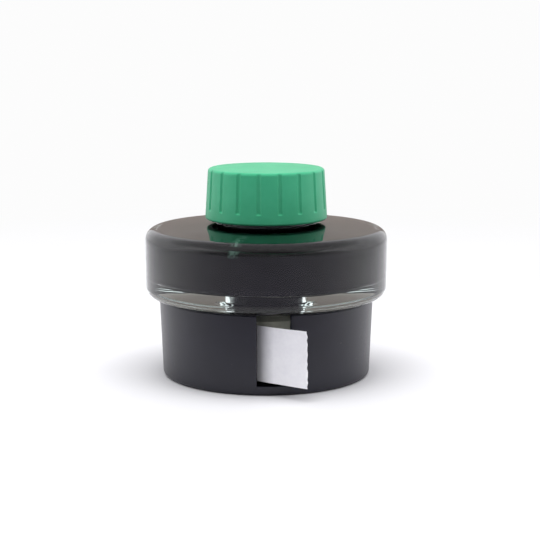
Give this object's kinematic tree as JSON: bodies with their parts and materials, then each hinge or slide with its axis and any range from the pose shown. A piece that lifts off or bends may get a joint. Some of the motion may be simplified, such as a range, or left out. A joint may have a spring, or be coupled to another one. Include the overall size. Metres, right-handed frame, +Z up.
{
  "type": "inkwell",
  "caption": "Round glass ink bottle with a ribbed screw cap, seated on a black base whose window lets out a strip of blotting paper from a hidden roll.",
  "frame": {"origin": "centre of the base's flat underside, on the axis of the round bottle", "axes": "+Z up along the bottle's axis, the paper window faces -Y, +X to the right of the window"},
  "size_m": [0.078, 0.0811, 0.0669],
  "materials": {
    "black_plastic": "matte",
    "grey_card": "matte",
    "blotting_paper": "matte",
    "clear_glass": "polished",
    "dark_ink": "gloss",
    "green_plastic": "satin",
    "pale_plastic": "satin"
  },
  "bodies": {
    "base": {"base_housing": "black_plastic"},
    "bottle": {"glass_bottle": "clear_glass", "ink_fill": "dark_ink"},
    "cap_seal": {"cap_liner": "pale_plastic"},
    "cap": {"cap_shell": "green_plastic"},
    "roll": {"roll_core": "grey_card", "paper_roll": "blotting_paper"},
    "paper_strip": {"paper_tongue": "blotting_paper"}
  },
  "joints": [
    {"name": "bottle_lift", "type": "slide", "parent": "base", "child": "bottle", "axis": [0, 0, 1], "range_m": [0, 0.025]},
    {"name": "cap_rise", "type": "slide", "parent": "bottle", "child": "cap_seal", "axis": [0, 0, 1], "range_m": [0, 0.0212]},
    {"name": "cap_turn", "type": "hinge", "parent": "cap_seal", "child": "cap", "pos_m": [0, 0, 0.058], "axis": [0, 0, 1], "range_deg": [0, 1800]},
    {"name": "paper_pull", "type": "slide", "parent": "base", "child": "paper_strip", "axis": [0.8141, -0.5807, 0], "range_m": [0, 0.014]},
    {"name": "roll_spin", "type": "hinge", "parent": "base", "child": "roll", "pos_m": [0, 0, 0.013], "axis": [0, 0, 1], "range_deg": [0, 30]}
  ],
  "couplings": [
    {"joint": "cap_rise", "follows": "cap_turn", "m_per_rad": 0.00066845},
    {"joint": "roll_spin", "follows": "paper_pull", "rad_per_m": 37.037}
  ]
}
